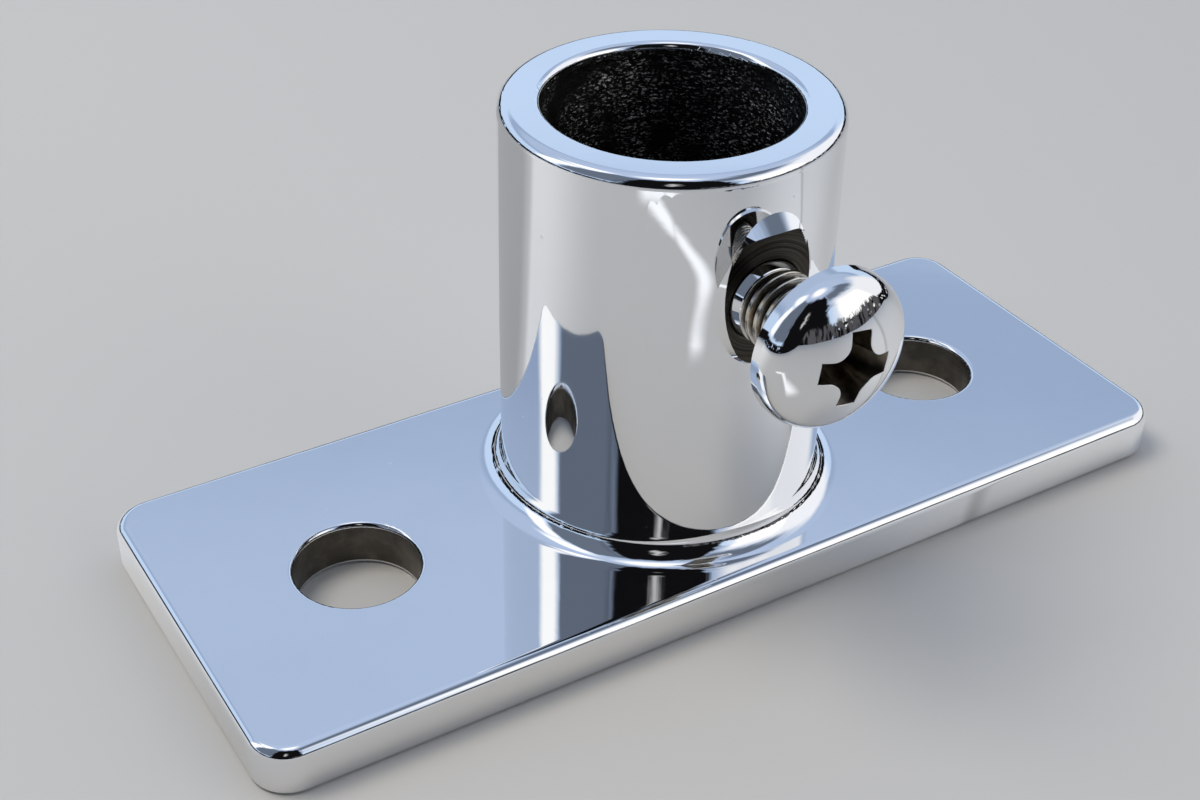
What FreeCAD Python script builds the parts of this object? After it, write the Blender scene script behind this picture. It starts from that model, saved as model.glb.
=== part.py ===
import FreeCAD, Part
import os
import math

import Sketcher
from FreeCAD import Placement, Rotation, Vector

# Tube clamp base flange. A cast plate is bolted down through two holes, a tube stands
# in the upright socket, and a pan head screw in the socket's long side clamps it.
# Millimetres, +Z up, X along the plate. The origin is where the socket's axis meets
# the underside of the plate, and the screw points along -Y.

# Driving sizes
SIZES = {
    # Base plate
    "plate_length": 110.0,
    "plate_width": 42.4,
    "plate_thickness": 5.3,
    "plate_corner_radius": 4.0,
    "plate_top_edge_radius": 1.2,
    "foot_edge_radius": 0.5,
    # Bolt holes
    "bolt_spacing": 72.0,
    "bolt_hole_diameter": 13.0,
    "bolt_hole_edge_radius": 0.5,
    # Socket and the tube it takes
    "tube_diameter": 25.0,
    "tube_clearance": 0.2,
    "socket_wall": 4.3,
    "socket_height": 48.4,
    "socket_root_radius": 2.6,
    "rim_outer_radius": 1.2,
    "rim_inner_radius": 0.7,
    # Cast boss round the screw, an upright oval a little above the screw's axis
    "boss_rise": 2.4,
    "boss_end_radius": 1.35,
    "boss_side_radius": 11.15,
    "boss_centre_distance": 9.4,
    "boss_lift": 1.35,
    "boss_draft": 45.0,
    # Milled seat and tapped hole
    "screw_height": 34.8,
    "seat_rise": 0.15,
    "seat_end_radius": 5.0,
    "seat_centre_distance": 5.5,
    "seat_lift": 0.25,
    "thread_clearance": 0.05,
    "screw_hole_chamfer": 0.3,
    # Clamp screw
    "thread_diameter": 8.0,
    "thread_length": 7.0,
    "thread_start_chamfer": 0.6,
    "point_diameter": 6.4,
    "point_length": 5.0,
    "point_chamfer": 0.6,
    "head_diameter": 15.8,
    "head_height": 5.6,
    "head_side_height": 1.2,
    "head_shoulder_radius": 3.0,
    "head_under_chamfer": 0.3,
    "screw_backed_out": 8.35,
    # Cross recess in the head
    "recess_length": 8.4,
    "recess_wing_width": 2.3,
    "recess_corner_radius": 1.7,
    "recess_depth": 4.4,
    "recess_floor_length": 3.4,
    "recess_floor_width": 1.9,
    "recess_floor_corner_radius": 0.3,
    "recess_core_diameter": 2.6,
    "recess_core_depth": 4.9,
    "recess_turn": 8.0,
}

# Lengths that several features share, as formulas on the sheet's cells
BORE_RADIUS = "(sizes.tube_diameter / 2 + sizes.tube_clearance)"
SOCKET_RADIUS = f"({BORE_RADIUS} + sizes.socket_wall)"
SEAT_DISTANCE = f"({SOCKET_RADIUS} + sizes.seat_rise)"
BOSS_FRONT = f"({SOCKET_RADIUS} + sizes.boss_rise)"
BOSS_INNER_END = f"({BORE_RADIUS} + sizes.socket_wall / 2)"
BOSS_HEIGHT = "(sizes.screw_height + sizes.boss_lift)"
SEAT_HEIGHT = "(sizes.screw_height + sizes.seat_lift)"
SCREW_HOLE_RADIUS = "(sizes.thread_diameter / 2 + sizes.thread_clearance)"
HEAD_UNDERSIDE = f"({SEAT_DISTANCE} + sizes.screw_backed_out)"
SCREW_LENGTH = "(sizes.thread_length + sizes.point_length)"

# Geometry made a hair longer than the metal it cuts, so that no skin is left
OVERCUT = 1.0

ORIGIN_POINT = (-1, 1)
HORIZONTAL_AXIS = -1
VERTICAL_AXIS = -2
POINT_NAMES = ("whole", "start", "end", "centre")
START = POINT_NAMES.index("start")
END = POINT_NAMES.index("end")
CENTRE = POINT_NAMES.index("centre")
X, Y, Z = Vector(1, 0, 0), Vector(0, 1, 0), Vector(0, 0, 1)

doc = FreeCAD.newDocument("tube_clamp_base_flange")
sheet = doc.addObject("Spreadsheet::Sheet", "sizes")
for row, (alias, number) in enumerate(SIZES.items(), start=1):
    sheet.set(f"A{row}", alias)
    sheet.set(f"B{row}", str(number))
    sheet.setAlias(f"B{row}", alias)
doc.recompute()


class SheetValues:
    """The sheet's cells by name, for the first guess of a sketch and for finding edges."""

    def __getattr__(self, alias):
        return float(getattr(sheet, alias))


sizes = SheetValues()


def measure(formula):
    """The number that a formula on the sheet's cells gives."""
    found = sheet.evalExpression(formula)
    return float(getattr(found, "Value", found))


# Helpers for bodies, sketches and features
def new_body(label):
    body = doc.addObject("PartDesign::Body", label)
    body.Label = label
    return body


def new_sketch(body, name, plane_role, offset=None, turn=None):
    """A sketch on one of the body's own origin planes, moved along its normal and turned."""
    plane = next(item for item in body.Origin.OriginFeatures if item.Role == plane_role)
    sketch = body.newObject("Sketcher::SketchObject", name)
    sketch.AttachmentSupport = [(plane, "")]
    sketch.MapMode = "FlatFace"
    if offset:
        sketch.setExpression(".AttachmentOffset.Base.z", offset)
    if turn:
        sketch.setExpression(".AttachmentOffset.Rotation.Angle", turn)
    return sketch


def constrain(sketch, name, formula, kind, *geometry):
    """A dimension of the sketch that follows a formula."""
    index = sketch.addConstraint(Sketcher.Constraint(kind, *geometry, measure(formula)))
    sketch.renameConstraint(index, name)
    sketch.setExpression("Constraints." + name, formula)


def place_point(sketch, name, geometry, position, across, up):
    """Holds a point of the sketch at two distances from the sketch's origin."""
    for suffix, kind, formula in (("x", "DistanceX", across), ("y", "DistanceY", up)):
        if formula == "0":
            axis = VERTICAL_AXIS if kind == "DistanceX" else HORIZONTAL_AXIS
            sketch.addConstraint(Sketcher.Constraint("PointOnObject", geometry, position, axis))
        else:
            constrain(sketch, f"{name}_{suffix}", formula, kind, *ORIGIN_POINT, geometry, position)


def draw_circle(sketch, name, radius, across="0", up="0"):
    centre = Vector(measure(across), measure(up), 0)
    circle = sketch.addGeometry(Part.Circle(centre, Z, measure(radius)))
    constrain(sketch, f"{name}_radius", radius, "Radius", circle)
    place_point(sketch, f"{name}_centre", circle, CENTRE, across, up)


def draw_centred_rectangle(sketch, length, width):
    half_x, half_y = measure(length) / 2, measure(width) / 2
    corners = [Vector(sx * half_x, sy * half_y, 0) for sx, sy in ((-1, -1), (1, -1), (1, 1), (-1, 1))]
    sides = [sketch.addGeometry(Part.LineSegment(corners[i], corners[(i + 1) % 4])) for i in range(4)]
    for i, side in enumerate(sides):
        sketch.addConstraint(Sketcher.Constraint("Coincident", side, END, sides[(i + 1) % 4], START))
        direction = "Vertical" if i % 2 else "Horizontal"
        sketch.addConstraint(Sketcher.Constraint(direction, side))
    sketch.addConstraint(Sketcher.Constraint("Symmetric", sides[0], START, sides[2], START, *ORIGIN_POINT))
    constrain(sketch, "length", length, "DistanceX", sides[0], START, sides[0], END)
    constrain(sketch, "width", width, "DistanceY", sides[1], START, sides[1], END)


def draw_smooth_oval(sketch, end_radius, side_radius, centre_distance, middle):
    """An upright oval of four arcs, each tangent to the next."""
    radius, wide_radius = measure(end_radius), measure(side_radius)
    half = measure(centre_distance) / 2
    height = measure(middle)
    aside = math.sqrt((wide_radius - radius) ** 2 - half ** 2)
    lean = math.atan2(half, aside)
    arcs = []
    for centre, arc_radius, first, last in (
            (Vector(0, height + half, 0), radius, lean, math.pi - lean),
            (Vector(aside, height, 0), wide_radius, math.pi - lean, math.pi + lean),
            (Vector(0, height - half, 0), radius, math.pi + lean, 2 * math.pi - lean),
            (Vector(-aside, height, 0), wide_radius, -lean, lean)):
        arcs.append(sketch.addGeometry(Part.ArcOfCircle(Part.Circle(centre, Z, arc_radius), first, last)))
    for arc, following in zip(arcs, arcs[1:] + arcs[:1]):
        sketch.addConstraint(Sketcher.Constraint("Tangent", arc, END, following, START))
    upper, left, lower, right = arcs
    sketch.addConstraint(Sketcher.Constraint("Equal", upper, lower))
    sketch.addConstraint(Sketcher.Constraint("Equal", left, right))
    constrain(sketch, "end_radius", end_radius, "Radius", upper)
    constrain(sketch, "side_radius", side_radius, "Radius", left)
    place_point(sketch, "upper_centre", upper, CENTRE, "0", f"{middle} + {centre_distance} / 2")
    place_point(sketch, "lower_centre", lower, CENTRE, "0", f"{middle} - {centre_distance} / 2")


def draw_upright_slot(sketch, end_radius, centre_distance, middle):
    """Two half circles above one another, joined by straight sides."""
    radius = measure(end_radius)
    half = measure(centre_distance) / 2
    height = measure(middle)
    top, bottom = Vector(0, height + half, 0), Vector(0, height - half, 0)
    circle_top = Part.Circle(top, Z, radius)
    circle_bottom = Part.Circle(bottom, Z, radius)
    upper = sketch.addGeometry(Part.ArcOfCircle(circle_top, 0, math.pi))
    left = sketch.addGeometry(Part.LineSegment(top - X * radius, bottom - X * radius))
    lower = sketch.addGeometry(Part.ArcOfCircle(circle_bottom, math.pi, 2 * math.pi))
    right = sketch.addGeometry(Part.LineSegment(bottom + X * radius, top + X * radius))
    sketch.addConstraint(Sketcher.Constraint("Tangent", upper, END, left, START))
    sketch.addConstraint(Sketcher.Constraint("Tangent", left, END, lower, START))
    sketch.addConstraint(Sketcher.Constraint("Tangent", lower, END, right, START))
    sketch.addConstraint(Sketcher.Constraint("Tangent", right, END, upper, START))
    sketch.addConstraint(Sketcher.Constraint("Equal", upper, lower))
    constrain(sketch, "end_radius", end_radius, "Radius", upper)
    place_point(sketch, "upper_centre", upper, CENTRE, "0", f"{middle} + {centre_distance} / 2")
    place_point(sketch, "lower_centre", lower, CENTRE, "0", f"{middle} - {centre_distance} / 2")


def add_feature(body, kind, name, profile, **settings):
    """A sketch-based feature. Text settings are formulas, the others are plain values."""
    feature = body.newObject("PartDesign::" + kind, name)
    feature.Profile = profile
    for setting, value in settings.items():
        if isinstance(value, str) and setting in ("Length", "TaperAngle"):
            feature.setExpression(setting, value)
        else:
            setattr(feature, setting, value)
    profile.Visibility = False
    doc.recompute()
    return feature


def add_pad(body, name, profile, **settings):
    before = body.Shape.Volume if body.Tip else 0.0
    pad = add_feature(body, "Pad", name, profile, **settings)
    if pad.Shape.Volume <= before:
        raise RuntimeError(f"{name} adds nothing")
    return pad


def add_pocket(body, name, profile, **settings):
    before = body.Shape.Volume
    pocket = add_feature(body, "Pocket", name, profile, **settings)
    if pocket.Shape.Volume >= before:
        raise RuntimeError(f"{name} cuts nothing")
    return pocket


def edges_where(feature, wanted):
    names = [f"Edge{i}" for i, edge in enumerate(feature.Shape.Edges, start=1) if wanted(edge)]
    if not names:
        raise RuntimeError(f"no edge found on {feature.Label}")
    return names


def dress_edges(body, kind, name, wanted, size_name, formula):
    """A fillet or chamfer on the edges of the last feature that a test picks out."""
    base = body.Tip
    dressed = body.newObject("PartDesign::" + kind, name)
    dressed.Base = (base, edges_where(base, wanted))
    dressed.setExpression(size_name, formula)
    doc.recompute()
    return dressed


def round_edges(body, name, wanted, formula):
    return dress_edges(body, "Fillet", name, wanted, "Radius", formula)


def chamfer_edges(body, name, wanted, formula):
    return dress_edges(body, "Chamfer", name, wanted, "Size", formula)


def near(first, second):
    return abs(first - second) < 1e-4


def flat_at(edge, axis, value):
    """True where the whole edge lies in one plane across the given axis."""
    box = edge.BoundBox
    low, high = getattr(box, axis + "Min"), getattr(box, axis + "Max")
    return near(low, value) and near(high, value)


def is_circle(edge, radius):
    return isinstance(edge.Curve, Part.Circle) and near(edge.Curve.Radius, radius)


# Flange: the plate, its socket, the boss and every hole are one casting
def make_flange():
    body = new_body("flange")
    thickness = sizes.plate_thickness
    height = sizes.socket_height
    bore_radius = measure(BORE_RADIUS)
    socket_radius = measure(SOCKET_RADIUS)

    # Base plate with rounded corners, a polished upper edge and a small foot edge
    outline = new_sketch(body, "plate_outline", "XY_Plane")
    draw_centred_rectangle(outline, "sizes.plate_length", "sizes.plate_width")
    add_pad(body, "plate", outline, Length="sizes.plate_thickness")
    round_edges(body, "plate_corners", lambda edge: near(edge.BoundBox.ZLength, thickness),
                "sizes.plate_corner_radius")
    round_edges(body, "plate_top_edge", lambda edge: flat_at(edge, "Z", thickness),
                "sizes.plate_top_edge_radius")
    round_edges(body, "plate_foot_edge", lambda edge: flat_at(edge, "Z", 0.0),
                "sizes.foot_edge_radius")

    # Socket, standing on the plate's middle, with its root fillet and rounded rim
    ring = new_sketch(body, "socket_outline", "XY_Plane")
    draw_circle(ring, "socket", SOCKET_RADIUS)
    add_pad(body, "socket", ring, Length="sizes.socket_height")
    round_edges(body, "socket_root",
                lambda edge: is_circle(edge, socket_radius) and flat_at(edge, "Z", thickness),
                "sizes.socket_root_radius")
    round_edges(body, "rim_outer_edge",
                lambda edge: is_circle(edge, socket_radius) and flat_at(edge, "Z", height),
                "sizes.rim_outer_radius")

    # Boss for the screw: it starts inside the socket wall and tapers outwards
    oval = new_sketch(body, "boss_outline", "XZ_Plane", BOSS_FRONT)
    draw_smooth_oval(oval, "sizes.boss_end_radius", "sizes.boss_side_radius",
                     "sizes.boss_centre_distance", BOSS_HEIGHT)
    add_pad(body, "boss", oval, Length=f"{BOSS_FRONT} - {BOSS_INNER_END}", Reversed=True,
            TaperAngle="sizes.boss_draft")

    # Bore for the tube, straight through the plate, with a rounded mouth
    tube_hole = new_sketch(body, "bore_outline", "XY_Plane")
    draw_circle(tube_hole, "bore", BORE_RADIUS)
    add_pocket(body, "bore", tube_hole, Type="ThroughAll", Reversed=True)
    round_edges(body, "bore_mouth",
                lambda edge: is_circle(edge, bore_radius) and flat_at(edge, "Z", height),
                "sizes.rim_inner_radius")

    # Seat: a round cutter moved a little way down the boss takes its front to a flat just
    # proud of the socket and leaves a sloping lip above it
    seat = new_sketch(body, "seat_outline", "XZ_Plane", SEAT_DISTANCE)
    draw_upright_slot(seat, "sizes.seat_end_radius", "sizes.seat_centre_distance", SEAT_HEIGHT)
    add_pocket(body, "screw_seat", seat, Length=f"sizes.boss_rise + {OVERCUT}",
               Reversed=True)

    # Tapped hole from the seat into the bore, and the chamfer at its mouth
    hole_radius = measure(SCREW_HOLE_RADIUS)
    seat_distance = measure(SEAT_DISTANCE)
    tapped = new_sketch(body, "screw_hole_outline", "XZ_Plane")
    draw_circle(tapped, "screw_hole", SCREW_HOLE_RADIUS, up="sizes.screw_height")
    add_pocket(body, "screw_hole", tapped, Type="ThroughAll", Reversed=True)
    chamfer_edges(body, "screw_hole_mouth",
                  lambda edge: is_circle(edge, hole_radius) and flat_at(edge, "Y", -seat_distance),
                  "sizes.screw_hole_chamfer")

    # Two plain bolt holes on the plate's long centre line
    bolts = new_sketch(body, "bolt_hole_outlines", "XY_Plane")
    for side, sign in (("left", "-"), ("right", "")):
        draw_circle(bolts, side, "sizes.bolt_hole_diameter / 2", across=f"{sign}sizes.bolt_spacing / 2")
    add_pocket(body, "bolt_holes", bolts, Type="ThroughAll", Reversed=True)
    bolt_radius = sizes.bolt_hole_diameter / 2
    round_edges(body, "bolt_hole_edges", lambda edge: is_circle(edge, bolt_radius),
                "sizes.bolt_hole_edge_radius")
    return body


def draw_screw_profile(sketch):
    """Half of the screw's section: the axis is the sketch's vertical, the head's underside
    is at zero, the point reaches down and the domed head rises."""
    head = "sizes.head_diameter / 2"
    point = "sizes.point_diameter / 2"
    thread = "sizes.thread_diameter / 2"
    corners = [
        ("0", f"-{SCREW_LENGTH}"),
        (f"{point} - sizes.point_chamfer", f"-{SCREW_LENGTH}"),
        (point, f"-{SCREW_LENGTH} + sizes.point_chamfer"),
        (point, "-sizes.thread_length"),
        (f"{thread} - sizes.thread_start_chamfer", "-sizes.thread_length"),
        (thread, "-sizes.thread_length + sizes.thread_start_chamfer"),
        (thread, "0"),
        (f"{head} - sizes.head_under_chamfer", "0"),
        (head, "sizes.head_under_chamfer"),
        (head, "sizes.head_side_height"),
    ]
    points = [Vector(measure(across), measure(up), 0) for across, up in corners]
    lines = []
    for i in range(len(points) - 1):
        line = sketch.addGeometry(Part.LineSegment(points[i], points[i + 1]))
        place_point(sketch, f"corner_{i}", line, START, *corners[i])
        if lines:
            sketch.addConstraint(Sketcher.Constraint("Coincident", lines[-1], END, line, START))
        lines.append(line)
    side = lines[-1]
    place_point(sketch, "shoulder_start", side, END, *corners[-1])

    # The shoulder and the crown are two arcs, tangent to each other. The crown's radius
    # follows from the head's size and the shoulder.
    shoulder_radius = sizes.head_shoulder_radius
    rise = sizes.head_height - sizes.head_side_height
    reach = sizes.head_diameter / 2 - shoulder_radius
    crown_radius = (reach ** 2 + rise ** 2 - shoulder_radius ** 2) / (2 * (rise - shoulder_radius))
    shoulder_centre = Vector(reach, sizes.head_side_height, 0)
    crown_centre = Vector(0, sizes.head_height - crown_radius, 0)
    crown_top = Vector(0, sizes.head_height, 0)
    lean = shoulder_centre - crown_centre
    join_angle = X.getAngle(lean)
    shoulder = sketch.addGeometry(
        Part.ArcOfCircle(Part.Circle(shoulder_centre, Z, shoulder_radius), 0, join_angle))
    crown = sketch.addGeometry(
        Part.ArcOfCircle(Part.Circle(crown_centre, Z, crown_radius), join_angle, math.pi / 2))
    sketch.addConstraint(Sketcher.Constraint("Tangent", side, END, shoulder, START))
    sketch.addConstraint(Sketcher.Constraint("Tangent", shoulder, END, crown, START))
    sketch.addConstraint(Sketcher.Constraint("PointOnObject", crown, CENTRE, VERTICAL_AXIS))
    constrain(sketch, "shoulder_radius", "sizes.head_shoulder_radius", "Radius", shoulder)
    place_point(sketch, "crown_top", crown, END, "0", "sizes.head_height")
    axis = sketch.addGeometry(Part.LineSegment(crown_top, points[0]))
    sketch.addConstraint(Sketcher.Constraint("Coincident", crown, END, axis, START))
    sketch.addConstraint(Sketcher.Constraint("Coincident", axis, END, lines[0], START))


def draw_cross(sketch, length, width, corner_radius):
    """A cross of two equal bars whose four inner corners are rounded."""
    reach = measure(length) / 2
    half = measure(width) / 2
    radius = measure(corner_radius)
    round_end = half + radius
    arm = [(reach, -half), (reach, half), (round_end, half)]
    arm_names = [(f"{length} / 2", f"{width} / 2"), (f"{width} / 2 + {corner_radius}", f"{width} / 2")]
    start = Vector(round_end, -half, 0)
    first = None
    last = None
    for turn in range(4):
        spin = Rotation(Z, 90 * turn)
        tip_low, tip_high, arc_start = (spin.multVec(Vector(x, y, 0)) for x, y in arm)
        arc_centre = spin.multVec(Vector(round_end, round_end, 0))
        side_low = sketch.addGeometry(Part.LineSegment(spin.multVec(start), tip_low))
        tip = sketch.addGeometry(Part.LineSegment(tip_low, tip_high))
        side_high = sketch.addGeometry(Part.LineSegment(tip_high, arc_start))
        turn_angle = math.pi / 2 * turn
        circle = Part.Circle(arc_centre, Z, radius)
        corner = sketch.addGeometry(
            Part.ArcOfCircle(circle, math.pi + turn_angle, math.pi * 3 / 2 + turn_angle))
        # The arc runs backwards along the outline, so its end meets the arm's side
        sketch.addConstraint(Sketcher.Constraint("Coincident", side_low, END, tip, START))
        sketch.addConstraint(Sketcher.Constraint("Coincident", tip, END, side_high, START))
        sketch.addConstraint(Sketcher.Constraint("Tangent", side_high, END, corner, END))
        if last is not None:
            sketch.addConstraint(Sketcher.Constraint("Tangent", last, START, side_low, START))
        else:
            first = side_low
        last = corner
        # Where the arm's corners lie, turned with the arm
        for name, geometry, position, (along, aside), sign in (
                ("tip_low", tip, START, arm_names[0], "-"),
                ("tip_high", tip, END, arm_names[0], ""),
                ("corner", side_high, END, arm_names[1], "")):
            aside_signed = f"{sign}({aside})"
            across, up = turned_formulas(f"({along})", aside_signed, turn)
            place_point(sketch, f"{name}_{turn}", geometry, position, across, up)
    sketch.addConstraint(Sketcher.Constraint("Tangent", last, START, first, START))


def turned_formulas(across, up, quarter_turns):
    """The coordinates' formulas after so many quarter turns about the origin."""
    for _ in range(quarter_turns):
        across, up = f"-({up})", across
    return across, up


# Clamp screw, drawn upright about its own axis and then laid along -Y
def make_clamp_screw():
    body = new_body("clamp_screw")
    profile = new_sketch(body, "screw_profile", "XZ_Plane")
    draw_screw_profile(profile)
    turned = body.newObject("PartDesign::Revolution", "turned_screw")
    turned.Profile = profile
    turned.ReferenceAxis = (profile, ["V_Axis"])
    turned.Angle = 360.0
    profile.Visibility = False
    doc.recompute()

    # Cross recess: the four wings narrow from the crown to the floor, and a round core
    # with a conical end goes a little deeper
    mouth = new_sketch(body, "recess_mouth", "XY_Plane", "sizes.head_height", "-sizes.recess_turn")
    draw_cross(mouth, "sizes.recess_length", "sizes.recess_wing_width", "sizes.recess_corner_radius")
    floor = new_sketch(body, "recess_floor", "XY_Plane", "sizes.head_height - sizes.recess_depth",
                       "-sizes.recess_turn")
    draw_cross(floor, "sizes.recess_floor_length", "sizes.recess_floor_width",
               "sizes.recess_floor_corner_radius")
    before = body.Shape.Volume
    wings = body.newObject("PartDesign::SubtractiveLoft", "recess_wings")
    wings.Profile = mouth
    wings.Sections = [floor]
    wings.Ruled = True
    doc.recompute()
    if wings.Shape.Volume >= before:
        raise RuntimeError("recess_wings cuts nothing")

    core = new_sketch(body, "recess_core_profile", "XZ_Plane")
    core_radius = "sizes.recess_core_diameter / 2"
    core_side = "sizes.head_height - sizes.recess_depth"
    core_corners = [
        ("0", "sizes.head_height"),
        ("0", "sizes.head_height - sizes.recess_core_depth"),
        (core_radius, core_side),
        (core_radius, "sizes.head_height"),
    ]
    core_points = [Vector(measure(across), measure(up), 0) for across, up in core_corners]
    core_lines = []
    for i, (start_point, corner) in enumerate(zip(core_points, core_corners)):
        end_point = core_points[(i + 1) % len(core_points)]
        core_lines.append(core.addGeometry(Part.LineSegment(start_point, end_point)))
        place_point(core, f"corner_{i}", core_lines[-1], START, *corner)
    for i, line in enumerate(core_lines):
        following = core_lines[(i + 1) % len(core_lines)]
        core.addConstraint(Sketcher.Constraint("Coincident", line, END, following, START))
    before = body.Shape.Volume
    bored = body.newObject("PartDesign::Groove", "recess_core")
    bored.Profile = core
    bored.ReferenceAxis = (core, ["V_Axis"])
    bored.Angle = 360.0
    doc.recompute()
    if bored.Shape.Volume >= before:
        raise RuntimeError("recess_core cuts nothing")

    # Laid along -Y at its height, backed out of the seat
    body.Placement = Placement(Vector(0, 0, 0), Rotation(X, 90))
    body.setExpression(".Placement.Base.y", f"-{HEAD_UNDERSIDE}")
    body.setExpression(".Placement.Base.z", "sizes.screw_height")
    doc.recompute()
    return body


bodies = [make_flange(), make_clamp_screw()]
doc.recompute()

# Nothing is written unless every object is sound
for item in doc.Objects:
    if "Invalid" in item.State or "Error" in item.State:
        raise RuntimeError(f"{item.Label} is not sound: {item.State}")
for body in bodies:
    if body.Shape.isNull() or not body.Shape.isValid():
        raise RuntimeError(f"{body.Label} has no valid shape")

os.makedirs("parts", exist_ok=True)
for body in bodies:
    body.Shape.exportStep(f"parts/{body.Label}.step")
    print(f"{body.Label}: {len(body.Shape.Solids)} solid, {body.Shape.Volume:.0f} cubic millimetres")
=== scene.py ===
# %% [markdown]
# This lesson dresses a tube clamp base flange: one mirror-polished casting and the screw
# that clamps a tube in it. The solids already have the right form and size. What they
# lack is what makes polished metal look real: exact normals, so that reflections run
# smoothly over every rounding, a screw thread, a rough cast bore, tool marks in the
# drilled holes, and a studio for the metal to reflect.

import math

import bmesh
import bpy
import numpy as np
from mathutils import Matrix, Vector


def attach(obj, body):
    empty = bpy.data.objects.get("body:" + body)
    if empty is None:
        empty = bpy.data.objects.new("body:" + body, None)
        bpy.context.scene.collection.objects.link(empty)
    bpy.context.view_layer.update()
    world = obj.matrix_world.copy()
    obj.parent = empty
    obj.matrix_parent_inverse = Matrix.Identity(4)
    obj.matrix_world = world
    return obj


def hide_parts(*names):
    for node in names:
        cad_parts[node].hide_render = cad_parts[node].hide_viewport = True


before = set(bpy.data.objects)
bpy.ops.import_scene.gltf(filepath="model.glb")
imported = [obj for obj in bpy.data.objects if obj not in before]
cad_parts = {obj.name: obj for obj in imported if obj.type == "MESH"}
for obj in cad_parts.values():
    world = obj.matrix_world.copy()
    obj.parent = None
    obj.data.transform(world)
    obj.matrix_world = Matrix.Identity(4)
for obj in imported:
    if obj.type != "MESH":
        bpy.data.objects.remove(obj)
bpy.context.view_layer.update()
MM = 0.001
print("solids:", sorted(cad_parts))

# %% [markdown]
# The finishes have to know where each surface lies, so the part's sizes are written
# down first, in millimetres. X runs along the plate, Z up the socket, and the screw
# points along -Y. The origin is on the socket's axis, under the plate.

# %% Sizes of the plate and the socket
PLATE_HALF = (55.0, 21.2)
PLATE_TOP = 5.3
PLATE_CORNER = 4.0
TOP_ROUNDING = 1.2
FOOT_ROUNDING = 0.5
HOLE_X = 36.0
HOLE_RADIUS = 6.5
HOLE_ROUNDING = 0.5
BORE_RADIUS = 12.7
SOCKET_RADIUS = 17.0
SOCKET_TOP = 48.4
ROOT_ROUNDING = 2.6
RIM_OUTER_ROUNDING = 1.2
RIM_INNER_ROUNDING = 0.7
print("plate", 2 * PLATE_HALF[0], "x", 2 * PLATE_HALF[1], "mm, bore", 2 * BORE_RADIUS, "mm")

# %% [markdown]
# A low oval boss stands on the socket's front, and a flat seat is milled into it round
# the screw's hole. Distances in front are measured from the socket's axis, and heights
# from the floor. The polishing wheel rounded the boss's upper end a little, so there the
# normals will fan out from a lower centre and lean further up than the slope does.

# %% Sizes of the boss, the seat and the screw's hole
SCREW_HEIGHT = 34.8
BOSS_FRONT = 19.4
BOSS_END_RADIUS = 1.35
BOSS_SIDE_RADIUS = 11.15
BOSS_HALF_LENGTH = 4.7
BOSS_MIDDLE = 36.15
BOSS_DRAFT = math.radians(45)
BUFFED_CENTRE = 34.0
BUFFED_LEAN = math.radians(32)
BUFFED_FROM, BUFFED_TO = 39.5, 42.3
SEAT_DISTANCE = 17.15
SEAT_END_RADIUS = 5.0
SEAT_HALF_LENGTH = 2.75
SEAT_MIDDLE = 35.05
SCREW_HOLE_CHAMFER = 0.3
SCREW_HOLE_RADIUS = 4.05
print("boss", round(BOSS_FRONT - SOCKET_RADIUS, 2), "mm proud of the wall")
print("seat", round(BOSS_FRONT - SEAT_DISTANCE, 2), "mm deep in the boss")

# %% [markdown]
# The screw is a domed head, a shank for the thread and a plain point on one axis.

# %% Sizes of the screw
HEAD_UNDERSIDE = 25.5
HEAD_RADIUS = 7.9
HEAD_HEIGHT = 5.6
HEAD_SIDE = 1.2
HEAD_SHOULDER = 3.0
HEAD_UNDER_CHAMFER = 0.3
THREAD_RADIUS = 4.0
THREAD_LENGTH = 7.0
THREAD_CHAMFER = 0.6
POINT_RADIUS = 3.2
POINT_LENGTH = 5.0
POINT_CHAMFER = 0.6
thread_start = HEAD_UNDERSIDE - THREAD_LENGTH
tip = thread_start - POINT_LENGTH
print("screw from", tip, "to", round(HEAD_UNDERSIDE + HEAD_HEIGHT, 2), "mm in front of the socket's axis")

# %% [markdown]
# A mirror shows every small error of a surface's normals. The solids arrive as
# triangles whose normals were averaged, so a reflection kinks where a rounding meets a
# flat. Each surface of the part is a simple form: a plane, a cylinder, a cone, or a
# rounding that rolls along a line. So for each triangle we find the form on which its
# three corners lie, and take the normal from that form instead of from the triangles.
# The form also tells which finish the triangle gets. Each form is a function that
# returns how far points lie from it, and its normals there.

# %% Planes and roundings
def unit(vectors):
    return vectors / np.maximum(np.linalg.norm(vectors, axis=-1, keepdims=True), 1e-12)


def smooth_step(value, start, end):
    t = np.clip((value - start) / (end - start), 0.0, 1.0)
    return t * t * (3 - 2 * t)


def plane(normal, offset):
    normal = np.array(normal, float)

    def form(points):
        return np.abs(points @ normal - offset), np.broadcast_to(normal, points.shape)

    return form


def rolled(spine, radius, bulge=1):
    """A round form about a spine. bulge is 1 for an outer rounding, -1 for a hollow."""

    def form(points):
        away = points - spine(points)
        return np.abs(np.linalg.norm(away, axis=-1) - radius), bulge * unit(away)

    return form


# %% [markdown]
# A rounding rolls along a spine: an axis, a circle or the plate's outline. A spine is a
# function too. It returns the points of its line that lie nearest to the given ones.

# %% Upright spines, for the plate and the socket
def upright_axis(x):
    def spine(points):
        nearest = points.copy()
        nearest[..., 0] = x
        nearest[..., 1] = 0.0
        return nearest

    return spine


def upright_circle(x, radius, z):
    def spine(points):
        flat = points - np.array((x, 0.0, 0.0))
        flat[..., 2] = 0.0
        return unit(flat) * radius + np.array((x, 0.0, z))

    return spine


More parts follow.
